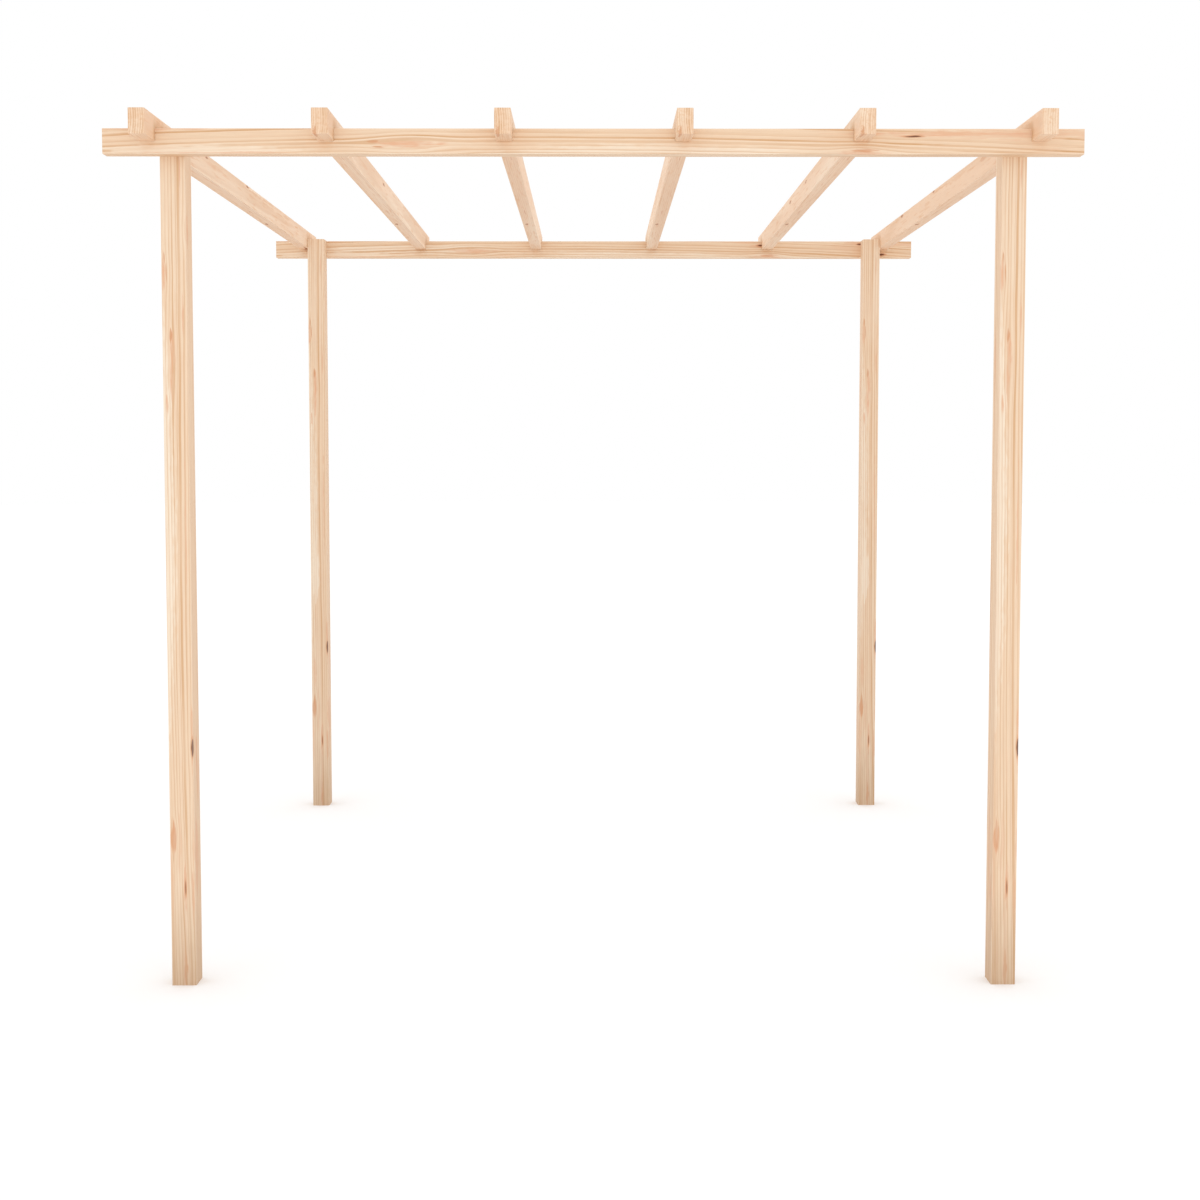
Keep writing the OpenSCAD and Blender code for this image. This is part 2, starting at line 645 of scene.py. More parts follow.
@dataclass(frozen=True)
class Timber:
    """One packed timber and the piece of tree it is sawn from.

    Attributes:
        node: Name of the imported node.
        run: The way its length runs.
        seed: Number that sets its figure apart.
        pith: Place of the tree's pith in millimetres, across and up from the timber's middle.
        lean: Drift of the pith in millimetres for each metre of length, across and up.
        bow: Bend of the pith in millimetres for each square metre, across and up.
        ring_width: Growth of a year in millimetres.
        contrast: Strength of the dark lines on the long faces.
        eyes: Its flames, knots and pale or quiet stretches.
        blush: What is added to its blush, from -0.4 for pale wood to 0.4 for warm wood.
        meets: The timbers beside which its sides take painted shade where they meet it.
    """

    node: str
    run: Run
    seed: int
    pith: Pair
    lean: Pair
    bow: Pair
    ring_width: float
    contrast: float
    eyes: list[Eye]
    blush: float = 0.0
    meets: tuple[str, ...] = ()

    SEED_STEP = 7.31
    SEED_SHARES = (1.0, 0.37, 0.53)
    END_CONTRAST = 0.8
    END_FACING = (0.6, 0.9)
    PIN_STRENGTH = 0.5
    ARRIS_REACH = 4.0 * MM
    FINE_WAVES = (16.0, 260.0, 260.0)
    COARSE_WAVES = (26.0, 110.0, 110.0)
    # Painted shade on the feet of the posts, where the ground would shade them.
    DAMP_WAVES = (9.0, 70.0, 70.0)
    DAMP_CREEP = 0.12
    DAMP_HEIGHTS = (0.4, 0.02)
    # Painted shade on the sides beside the timbers that meet this one.
    STAIN_REACH = 32.0 * MM
    JOINT_SHADE_FACING = (0.9, 0.5)

    def dress(self, finish: SoftwoodFinish, groups: SoftwoodGroups) -> None:
        """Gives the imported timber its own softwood.

        Args:
            finish: The finish.
            groups: The shared effects.
        """
        g = Surface(f"{self.node}_softwood")
        coordinates = g.node("ShaderNodeTexCoord")
        own_place = self._own_directions(g, coordinates.outputs["Object"])
        grain, masks = self._part_grain(g, groups, own_place)
        seed = self.seed * self.SEED_STEP
        rings = g.place(groups.rings, grain=grain, seed=[seed * share for share in self.SEED_SHARES],
                        pith=self._metres(0.0, *self.pith), lean=self._metres(0.0, *self.lean),
                        bow=self._metres(0.0, *self.bow), ring_width=self.ring_width * MM,
                        wander=finish.wander, blush=self.blush)
        arris = g.place(groups.arris, grain=own_place, half_section=self._half_section(),
                        reach=self.ARRIS_REACH)
        facing = g.math("ABSOLUTE", g.part(coordinates.outputs["Normal"], self.run.direction))
        pins = g.math("MULTIPLY", masks[Mark.PIN], self.PIN_STRENGTH)
        flecks = g.math("MULTIPLY", rings.outputs["Fleck"], finish.flecks)
        # This group puts painted shade on the feet and beside the joints, and lightens the edges partly as
        # wear and partly as a painted highlight.
        look = g.place(groups.planed, grain=own_place, latewood=rings.outputs["Latewood"],
                       tone=rings.outputs["Tone"], fibre=rings.outputs["Fibre"],
                       flame=g.math("MAXIMUM", masks[Mark.FLAME], flecks), resin=masks[Mark.RESIN],
                       knot=g.math("MAXIMUM", masks[Mark.KNOT], pins), sap=masks[Mark.SAP],
                       quiet=masks[Mark.QUIET], end=g.step(facing, *self.END_FACING),
                       arris=arris.outputs["Mask"], damp=self._foot_shade_mask(g, own_place, coordinates),
                       stain=self._joint_shade_mask(g, groups, coordinates), contrast=self.contrast,
                       end_contrast=self.END_CONTRAST, **finish.colours())
        g.coat(look, finish.bump_strength, finish.bump_depth)
        g.feed(g.shader.inputs["Specular IOR Level"], finish.specular)
        timber = bpy.data.objects[self.node]
        timber.data.materials.clear()
        timber.data.materials.append(g.material)
        LOG.info("%s: softwood with %d flames, knots and stretches", self.node, len(self.eyes))

    def _part_grain(self, g: Graph, groups: SoftwoodGroups,
                    own_place: Socket) -> tuple[Socket, dict[Mark, Feed]]:
        """Parts the grain round every flame and knot.

        Args:
            g: The material's nodes.
            groups: The shared effects.
            own_place: Places in the timber's own directions.

        Returns:
            The parted grain, and a mask of each kind of mark.
        """
        ragged = g.math("ADD", g.sway(own_place, self.FINE_WAVES, 2.0), g.sway(own_place, self.COARSE_WAVES))
        grain = own_place
        masks: dict[Mark, Feed] = dict.fromkeys(Mark, 0.0)
        for eye in self.eyes:
            made = g.place(groups.eye, grain=grain, ragged=ragged, centre=self._metres(*eye.place),
                           half_size=self._metres(*eye.half_size), parting=eye.parting,
                           feather=eye.mark.value)
            grain = made.outputs["Grain"]
            shown = made.outputs["Mask"]
            if eye.strength < 1.0:
                shown = g.math("MULTIPLY", shown, eye.strength)
            masks[eye.mark] = g.math("MAXIMUM", masks[eye.mark], shown)
            if eye.mark is Mark.KNOT:
                masks[Mark.RESIN] = g.math("MAXIMUM", masks[Mark.RESIN], made.outputs["Halo"])
        return grain, masks

    def _foot_shade_mask(self, g: Graph, own_place: Socket, coordinates: bpy.types.Node) -> Socket:
        """Paints shade on the foot of a timber that stands on the ground, darker towards the bottom.

        Args:
            g: The material's nodes.
            own_place: Places in the timber's own directions.
            coordinates: The material's Texture Coordinate node.

        Returns:
            The mask of the painted shade.
        """
        above_ground = g.part(coordinates.outputs["Object"], UP)
        patchy = g.noise(own_place, self.DAMP_WAVES, 2.0)
        creep = g.math("MULTIPLY_ADD", patchy, self.DAMP_CREEP, above_ground)
        return g.step(creep, *self.DAMP_HEIGHTS)

    def _joint_shade_mask(self, g: Graph, groups: SoftwoodGroups, coordinates: bpy.types.Node) -> Feed:
        """Paints shade on the upright sides beside the timbers that meet this one.

        Args:
            g: The material's nodes.
            groups: The shared effects.
            coordinates: The material's Texture Coordinate node.

        Returns:
            The mask of the painted shade.
        """
        stain: Feed = 0.0
        for other in self.meets:
            low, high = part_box(other)
            centre = [(a + b) / 2 for a, b in zip(low, high)]
            half_size = [(b - a) / 2 for a, b in zip(low, high)]
            made = g.place(groups.stain, place=coordinates.outputs["Object"], centre=centre,
                           half_size=half_size, reach=self.STAIN_REACH)
            stain = g.math("MAXIMUM", stain, made.outputs["Mask"])
        if not self.meets:
            return stain
        upward = g.math("ABSOLUTE", g.part(coordinates.outputs["Normal"], UP))
        return g.math("MULTIPLY", stain, g.step(upward, *self.JOINT_SHADE_FACING))

    def _own_directions(self, g: Graph, place: Socket) -> Socket:
        """Turns the object's coordinates into the timber's: along its length, across and up.

        Args:
            g: The material's nodes.
            place: The object's coordinates.

        Returns:
            The timber's own coordinates in metres.
        """
        low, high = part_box(self.node)
        mapping = g.node("ShaderNodeMapping", vector_type="TEXTURE")
        g.feed(mapping.inputs["Vector"], place)
        g.feed(mapping.inputs["Location"], [(a + b) / 2 for a, b in zip(low, high)])
        g.feed(mapping.inputs["Rotation"], self.run.value)
        return mapping.outputs["Vector"]

    def _half_section(self) -> Triple:
        """Measures the timber.

        Returns:
            Half its size along, across and up, in metres.
        """
        low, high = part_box(self.node)
        x, y, z = [(b - a) / 2 for a, b in zip(low, high)]
        return {Run.ACROSS: (x, y, z), Run.DEEP: (y, x, z), Run.UPRIGHT: (z, y, x)}[self.run]

    @staticmethod
    def _metres(along: float, across: float, up: float) -> Triple:
        """Turns millimetres into metres."""
        return (along * MM, across * MM, up * MM)


@dataclass(frozen=True)
class FaceMark:
    """A flame or knot as it lies on a long face, in millimetres.

    Attributes:
        mark: What it holds: a warm flame, an orange streak of resin, a dark knot, a brown pin knot,
            pale sapwood, or a quiet stretch with faint lines.
        along: From the top of a post, the left end of a beam or the front end of a rafter.
        across: From the face's upper edge, or on an upper or lower face from its near edge.
        length: Its length along the grain.
        width: Its width across the grain.
        parting: How far the grain gives way.
        face: The face that it lies on.
        strength: How much of its colour shows.
    """

    mark: Mark
    along: float
    across: float
    length: float
    width: float
    parting: float = 0.5
    face: Face = Face.NEAR
    strength: float = 1.0


@dataclass
class Stock:
    """Timbers of one section, with their sizes in millimetres.

    Attributes:
        length: Length of a timber.
        thickness: Its size across.
        height: Its size up.
        contrast: Strength of the dark lines.
        ring_width: Growth of a year.
        depth_of_mark: How deep a flame or knot goes in.
        counts_down: Whether marks are counted from the far end of the length.
        finish: Its wood.
    """

    length: float
    thickness: float
    height: float
    contrast: float
    ring_width: float = 6.3
    depth_of_mark: float = 6.0
    counts_down: bool = False
    finish: SoftwoodFinish = SoftwoodFinish()

    KNOT_ALONG = (0.04, 0.96)
    KNOT_ACROSS = (0.15, 0.85)
    KNOT_LENGTH = (24.0, 52.0)
    KNOT_SLENDERNESS = (0.1, 0.17)
    KNOT_PARTING = 0.8

    def eyes(self, marks: Iterable[FaceMark]) -> list[Eye]:
        """Sets the marks of the faces into the timber."""
        return [self._eye(mark) for mark in marks]

    def _eye(self, mark: FaceMark) -> Eye:
        """Sets a mark of a face into the timber.

        Args:
            mark: The mark.

        Returns:
            The spot where the grain parts for it.
        """
        along = mark.along - self.length / 2
        if self.counts_down:
            along = -along
        out_across, out_up = mark.face.value
        if out_across:
            place = (along, out_across * self.thickness / 2, self.height / 2 - mark.across)
            half_size = (mark.length / 2, self.depth_of_mark, mark.width / 2)
        else:
            place = (along, mark.across - self.thickness / 2, out_up * self.height / 2)
            half_size = (mark.length / 2, mark.width / 2, self.depth_of_mark)
        return Eye(mark.mark, place, half_size, mark.parting, mark.strength)

    def scatter(self, draw: random.Random, faces: tuple[Face, ...], count: int) -> list[FaceMark]:
        """Draws knots.

        Args:
            draw: The timber's random numbers.
            faces: The faces that take turns.
            count: Number of knots.

        Returns:
            The knots.
        """
        marks = []
        for number in range(count):
            face = faces[number % len(faces)]
            breadth = self.height if face in (Face.NEAR, Face.FAR) else self.thickness
            along = draw.uniform(*self.KNOT_ALONG) * self.length
            across = draw.uniform(*self.KNOT_ACROSS) * breadth
            length = draw.uniform(*self.KNOT_LENGTH)
            width = length * draw.uniform(*self.KNOT_SLENDERNESS)
            marks.append(FaceMark(Mark.KNOT, along, across, length, width, self.KNOT_PARTING, face))
        return marks


@dataclass
class Posts(Stock):
    """The four square posts.

    Attributes:
        hidden_knots: Knots on the faces that look away from the front.
        blush: Blush of the front posts.
        back_blush: Blush of the back posts.
        front_marks: The marks of every front face.
        back_marks: The marks that only the back posts have on their front faces.
        left_inner_marks: The marks of the inner faces on the left.
        right_inner_marks: The marks of the inner faces on the right.
    """

    length: float = 2400.0
    thickness: float = 69.0
    height: float = 69.0
    contrast: float = 0.7
    counts_down: bool = True
    hidden_knots: int = 4
    blush: float = 0.3
    back_blush: float = 0.24
    front_marks: tuple[FaceMark, ...] = (
        FaceMark(Mark.SAP, 1080, 0, 1300, 60, 0.0),
        FaceMark(Mark.SAP, 190, 34, 560, 120, 0.0, strength=0.22),
        FaceMark(Mark.SAP, 2240, 34, 360, 120, 0.0, strength=0.25),
        FaceMark(Mark.FLAME, 112, 54, 110, 4.5, 0.2),
        FaceMark(Mark.FLAME, 392, 4, 120, 14, 0.8),
        FaceMark(Mark.RESIN, 346, 6, 34, 4, 0.5),
        FaceMark(Mark.RESIN, 388, 9, 60, 3.4, 0.3),
        FaceMark(Mark.FLAME, 505, 58, 130, 5, 0.2),
        FaceMark(Mark.FLAME, 640, 27, 220, 15, 0.8),
        FaceMark(Mark.RESIN, 560, 25, 50, 4, 0.4),
        FaceMark(Mark.FLAME, 752, 11, 70, 7, 0.8),
        FaceMark(Mark.FLAME, 1080, 57, 520, 4, 0.1),
        FaceMark(Mark.FLAME, 1690, 66, 200, 10, 0.7),
        FaceMark(Mark.KNOT, 1718, 66.4, 48, 3.2, 0.6),
        FaceMark(Mark.FLAME, 1978, 9, 110, 16, 0.85),
        FaceMark(Mark.RESIN, 1966, 10, 98, 8, 0.3, strength=0.6),
        FaceMark(Mark.FLAME, 2080, 4, 300, 10, 0.2, strength=0.5),
        FaceMark(Mark.FLAME, 2116, 42, 160, 12, 0.2),
        FaceMark(Mark.KNOT, 2120, 42, 46, 2.4, 0.4, strength=0.7),
        FaceMark(Mark.FLAME, 2136, 63, 180, 7, 0.4),
        FaceMark(Mark.FLAME, 2360, 40, 130, 11, 0.3),
        FaceMark(Mark.FLAME, 1992, 67, 110, 8, 0.2, strength=0.7),
        FaceMark(Mark.FLAME, 1990, 26, 170, 10, 0.2, strength=0.5),
        FaceMark(Mark.FLAME, 2250, 38, 280, 12, 0.1, strength=0.3),
    )
    back_marks: tuple[FaceMark, ...] = (
        FaceMark(Mark.SAP, 1405, 20, 270, 34, 0.0),
        FaceMark(Mark.QUIET, 1405, 20, 270, 34, 0.0, strength=0.6),
        FaceMark(Mark.FLAME, 1820, 14, 130, 18, 0.2, strength=0.6),
    )
    left_inner_marks: tuple[FaceMark, ...] = (
        FaceMark(Mark.FLAME, 270, 17, 110, 16, 0.7, Face.LOWER),
        FaceMark(Mark.FLAME, 1745, 36, 150, 22, 0.7, Face.LOWER),
        FaceMark(Mark.FLAME, 1815, 46, 130, 22, 0.6, Face.LOWER, 0.9),
        FaceMark(Mark.FLAME, 2035, 24, 230, 44, 0.2, Face.LOWER, 0.9),
    )
    right_inner_marks: tuple[FaceMark, ...] = (
        FaceMark(Mark.FLAME, 625, 48, 150, 20, 0.8, Face.UPPER),
        FaceMark(Mark.FLAME, 2040, 40, 320, 44, 0.2, Face.UPPER, 0.6),
        FaceMark(Mark.FLAME, 2130, 20, 110, 16, 0.7, Face.UPPER),
    )

    def timbers(self) -> list[Timber]:
        """Gives the four posts with their figure.

        Returns:
            The posts.
        """
        return [self._post("front_left_post", 1, (46.0, -78.0), (3.0, 6.0), (2.0, -3.0)),
                self._post("front_right_post", 2, (48.0, -80.0), (-4.0, 6.0), (1.0, -4.0)),
                self._post("back_left_post", 3, (44.0, -76.0), (5.0, 5.0), (-2.0, -4.0)),
                self._post("back_right_post", 4, (46.0, -79.0), (-3.0, 7.0), (3.0, -3.0))]

    def _post(self, node: str, seed: int, pith: Pair, lean: Pair, bow: Pair) -> Timber:
        """Gives one post the marks of its faces.

        Args:
            node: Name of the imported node.
            seed: Number that sets its figure apart.
            pith: Place of the pith.
            lean: Drift of the pith.
            bow: Bend of the pith.

        Returns:
            The post.
        """
        on_left = "left" in node
        inner_marks = self.left_inner_marks if on_left else self.right_inner_marks
        hidden_faces = (Face.FAR, Face.UPPER if on_left else Face.LOWER)
        hidden_marks = self.scatter(random.Random(seed), hidden_faces, self.hidden_knots)
        at_front = node.startswith("front")
        own_marks = () if at_front else self.back_marks
        eyes = self.eyes((*self.front_marks, *own_marks, *inner_marks, *hidden_marks))
        blush = self.blush if at_front else self.back_blush
        return Timber(node, Run.UPRIGHT, seed, pith, lean, bow, self.ring_width, self.contrast, eyes, blush)


@dataclass
class Beams(Stock):
    """The beam across the front and the beam across the back.

    Attributes:
        hidden_knots: Knots on the faces that look away from the front.
        blush: Blush of both beams.
        lean: Drift of the pith, as in Timber.
        bow: Bend of the pith, as in Timber.
        marks: The marks of both front faces.
        front_marks: The marks that only the front beam has there.
        back_marks: The marks that only the back beam has there.
    """

    length: float = 2690.0
    thickness: float = 44.0
    height: float = 69.0
    contrast: float = 0.86
    ring_width: float = 8.3
    depth_of_mark: float = 8.0
    hidden_knots: int = 6
    blush: float = 0.3
    lean: Pair = (0.0, -5.0)
    bow: Pair = (0.0, -20.0)
    marks: tuple[FaceMark, ...] = (
        FaceMark(Mark.SAP, 1480, 66, 920, 48, 0.0, strength=0.75),
        FaceMark(Mark.SAP, 260, 58, 640, 28, 0.0, strength=0.6),
        FaceMark(Mark.FLAME, 345, 66, 440, 7, 0.1, strength=0.8),
        FaceMark(Mark.QUIET, 250, 58, 560, 24, 0.0),
        FaceMark(Mark.FLAME, 140, 2, 320, 7, 0.2),
        FaceMark(Mark.FLAME, 832, 41, 210, 25, 0.85),
        FaceMark(Mark.FLAME, 950, 59, 130, 13, 0.6, strength=0.25),
        FaceMark(Mark.FLAME, 2085, 68, 160, 22, 0.9),
        FaceMark(Mark.RESIN, 2090, 65, 90, 6, 0.2, strength=0.6),
    )
    front_marks: tuple[FaceMark, ...] = (
        FaceMark(Mark.SAP, 810, 34, 520, 100, 0.0, strength=0.22),
        FaceMark(Mark.RESIN, 738, 38, 36, 4, 0.4),
        FaceMark(Mark.RESIN, 754, 46, 34, 4, 0.4),
        FaceMark(Mark.QUIET, 2500, 14, 760, 28, 0.0),
        FaceMark(Mark.FLAME, 2500, 12, 760, 32, 0.0, strength=0.55),
        FaceMark(Mark.QUIET, 2440, 52, 640, 24, 0.0, strength=0.5),
        FaceMark(Mark.FLAME, 2240, 19, 200, 8, 0.3),
        FaceMark(Mark.FLAME, 2330, 14, 640, 12, 0.2),
        FaceMark(Mark.KNOT, 2222, 20, 50, 3.6, 0.5),
    )
    back_marks: tuple[FaceMark, ...] = (
        FaceMark(Mark.SAP, 560, 34, 800, 44, 0.0, strength=0.8),
        FaceMark(Mark.SAP, 1750, 69, 1900, 18, 0.0, strength=0.8),
        FaceMark(Mark.KNOT, 127, 34, 18, 6, 0.3),
        # Painted shade on the back beam beside the back right post.
        FaceMark(Mark.FLAME, 2460, 24, 240, 50, 0.0, strength=0.4),
        FaceMark(Mark.FLAME, 2660, 12, 160, 24, 0.0, strength=0.6),
        FaceMark(Mark.FLAME, 2040, 19, 90, 9, 0.4),
        FaceMark(Mark.FLAME, 2000, 5, 200, 10, 0.2, strength=0.8),
        FaceMark(Mark.FLAME, 2450, 6, 130, 12, 0.2, strength=0.8),
        FaceMark(Mark.KNOT, 2052, 18, 34, 5),
        FaceMark(Mark.KNOT, 2474, 12, 26, 6),
        FaceMark(Mark.KNOT, 2560, 55, 38, 8),
    )

    def timbers(self) -> list[Timber]:
        """Gives the two beams with their figure.

        Returns:
            The beams.
        """
        return [self._beam("front_beam", 5, (52.0, 76.0), self.front_marks),
                self._beam("back_beam", 6, (50.0, 78.0), self.back_marks)]

    def _beam(self, node: str, seed: int, pith: Pair, own_marks: tuple[FaceMark, ...]) -> Timber:
        """Gives one beam the marks of its faces.

        Args:
            node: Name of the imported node.
            seed: Number that sets its figure apart.
            pith: Place of the pith.
            own_marks: The marks that only this beam has on its near face.

        Returns:
            The beam.
        """
        hidden_marks = self.scatter(random.Random(seed), (Face.FAR, Face.UPPER), self.hidden_knots)
        eyes = self.eyes((*self.marks, *own_marks, *hidden_marks))
        return Timber(node, Run.ACROSS, seed, pith, self.lean, self.bow, self.ring_width, self.contrast, eyes,
                      self.blush)


@dataclass
class Rafters(Stock):
    """The row of rafters that are notched over the beams.

    Attributes:
        count: Number of rafters.
        hidden_knots: Knots on the faces that look away from the front.
        blush: Blush of each rafter from left to right.
        tail_tone_and_shade: Strength of each tail's warm tone, partly the wood's own tone and partly painted
            shade where the tail meets the front beam.
        inner_tone: Strength of the warm tone over each inner face.
        tail: The warm tone of a tail, partly the wood's own tone and partly painted shade where the tail
            meets the front beam.
        inner: The warm tone of an inner face.
        under_marks: The marks of every underside.
        first_end: The sapwood in the saw cut of the first rafter's front end, counted from that end.
        last_end: The sapwood in that of the last rafter.
        middle_end: The streak in that of the others.
    """

    length: float = 2700.0
    thickness: float = 44.0
    height: float = 69.0
    contrast: float = 0.36
    count: int = 6
    hidden_knots: int = 4
    blush: tuple[float, ...] = (0.22, 0.2, 0.18, 0.18, 0.16, 0.4)
    # A tail's warm tone is partly the wood's own and partly painted shade where the tail meets the front
    # beam.
    tail_tone_and_shade: tuple[float, ...] = (0.35, 0.45, 0.35, 0.35, 0.4, 0.55)
    inner_tone: tuple[float, ...] = (0.0, 0.0, 0.04, 0.07, 0.03, 0.1)
    tail: FaceMark = FaceMark(Mark.FLAME, 46, 34, 230, 110, 0.0)
    inner: FaceMark = FaceMark(Mark.FLAME, 1300, 34, 3600, 110, 0.0)
    under_marks: tuple[FaceMark, ...] = (
        FaceMark(Mark.RESIN, 368, 17, 80, 5, 0.3, Face.LOWER),
        FaceMark(Mark.FLAME, 1180, 40, 360, 6, 0.2, Face.LOWER, 0.9),
        FaceMark(Mark.RESIN, 1450, 23, 110, 5, 0.3, Face.LOWER, 0.9),
        FaceMark(Mark.FLAME, 2050, 36, 200, 6, 0.2, Face.LOWER, 0.9),
    )
    first_end: Eye = Eye(Mark.SAP, (0.0, 4.0, -16.0), (60.0, 20.0, 22.0), 0.0, 0.5)
    last_end: Eye = Eye(Mark.SAP, (0.0, 2.0, 0.0), (60.0, 24.0, 46.0), 0.0, 0.5)
    middle_end: Eye = Eye(Mark.RESIN, (0.0, 13.5, -29.0), (60.0, 5.5, 12.0), 0.2)
    finish: SoftwoodFinish = SoftwoodFinish(earlywood=srgb(255, 233, 209), blush=srgb(250, 218, 189),
                                            flame=srgb(234, 185, 142), flecks=0.8, wander=6.0 * MM)

    FIRST_SEED = 11
    PITH_ACROSS = (243.0, 323.0)
    PITH_UP = (-10.0, 10.0)
    LEAN_ACROSS = (-4.0, 4.0)
    LEAN_UP = (-6.0, 6.0)
    BOW_ACROSS = (-3.0, 3.0)
    BOW_UP = (-4.0, 4.0)

    # Marks of the inner faces by the rafter's number: a pin knot is given by its place along and
    # across, and a streak also by its length, width and strength
    STREAK_PARTING = 0.4
    STREAKS = {1: ((790, 22, 260, 16, 0.5), (1430, 12, 230, 12, 0.9), (1640, 7, 270, 6, 0.8),
                   (2015, 13, 120, 14, 0.8), (2230, 21, 90, 8, 1.0)),
               2: ((725, 33, 120, 10, 0.6), (1460, 14, 160, 10, 0.5), (2030, 14, 300, 9, 0.4)),
               3: ((1470, 34, 170, 20, 0.3), (2400, 38, 110, 20, 0.3)),
               4: ((1525, 25, 170, 18, 0.4),),
               5: ((1968, 37, 90, 12, 0.9),),
               6: ((1040, 17, 280, 18, 0.5), (1310, 11, 270, 10, 0.9), (2140, 12, 220, 12, 0.7))}
    PINS = {1: ((702, 10), (1297, 5)),
            2: ((1170, 18),),
            5: ((1111, 17), (1546, 20)),
            6: ((1400, 5), (1990, 8))}
    PIN_FLAME = (100, 10, 0.7)
    PIN_CORE = (40, 7, 0.5)
    UNDER_PIN = (1770, 30)
    OWN_MARKS = {1: (FaceMark(Mark.KNOT, 2515, 13, 56, 8, 0.5, Face.LOWER),),
                 6: (FaceMark(Mark.FLAME, 667, 17, 120, 14, 0.7, Face.FAR),
                     FaceMark(Mark.RESIN, 667, 17, 70, 8, 0.4, Face.FAR, 0.5))}

    def timbers(self) -> list[Timber]:
        """Gives the rafters with their figure.

        Returns:
            The rafters from left to right.
        """
        made = []
        for number in range(1, self.count + 1):
            draw = random.Random(number)
            side = 1.0 if number <= self.count / 2 else -1.0
            pith = (side * draw.uniform(*self.PITH_ACROSS), side * draw.uniform(*self.PITH_UP))
            lean = (draw.uniform(*self.LEAN_ACROSS), draw.uniform(*self.LEAN_UP))
            bow = (draw.uniform(*self.BOW_ACROSS), draw.uniform(*self.BOW_UP))
            inner_face, outer_face = (Face.NEAR, Face.FAR) if side > 0 else (Face.FAR, Face.NEAR)
            hidden_marks = self.scatter(draw, (outer_face, Face.UPPER), self.hidden_knots)
            marks = (*self._seen_marks(number, inner_face), *hidden_marks)
            eyes = [*self.eyes(marks), self._end_eye(number)]
            made.append(Timber(f"rafter_{number}", Run.DEEP, self.FIRST_SEED + number - 1, pith, lean, bow,
                               self.ring_width, self.contrast, eyes, self.blush[number - 1],
                               self._meets(number)))
        return made

    def _meets(self, number: int) -> tuple[str, ...]:
        """Names the timbers that a rafter meets.

        Args:
            number: The rafter's number from the left.

        Returns:
            The beams, and the posts beside an outer rafter.
        """
        beside = {1: "left", self.count: "right"}.get(number)
        posts = [post for post in POSTS if beside and beside in post]
        return (*BEAMS, *posts)

    def _seen_marks(self, number: int, face: Face) -> list[FaceMark]:
        """Gives the marks of a rafter's inner face and underside.

        Args:
            number: The rafter's number from the left.
            face: The face that looks to the middle of the frame.

        Returns:
            The marks.
        """
        marks = [replace(self.tail, face=face, strength=self.tail_tone_and_shade[number - 1]),
                 replace(self.inner, face=face, strength=self.inner_tone[number - 1]),
                 *self.under_marks]
        for along, across, length, width, strength in self.STREAKS[number]:
            marks.append(FaceMark(Mark.FLAME, along, across, length, width, self.STREAK_PARTING, face,
                                  strength))
        pins = [(*pin, face) for pin in self.PINS.get(number, ())]
        for along, across, pin_face in (*pins, (*self.UNDER_PIN, Face.LOWER)):
            marks.append(FaceMark(Mark.FLAME, along, across, *self.PIN_FLAME, pin_face))
            marks.append(FaceMark(Mark.PIN, along, across, *self.PIN_CORE, pin_face))
        return [*marks, *self.OWN_MARKS.get(number, ())]

    def _end_eye(self, number: int) -> Eye:
        """Gives the streak or the sapwood that a rafter shows in the saw cut of its front end.

        Args:
            number: The rafter's number from the left.

        Returns:
            The streak or the sapwood.
        """
        eye = {1: self.first_end, self.count: self.last_end}.get(number, self.middle_end)
        along, across, up = eye.place
        return replace(eye, place=(along - self.length / 2, across, up))


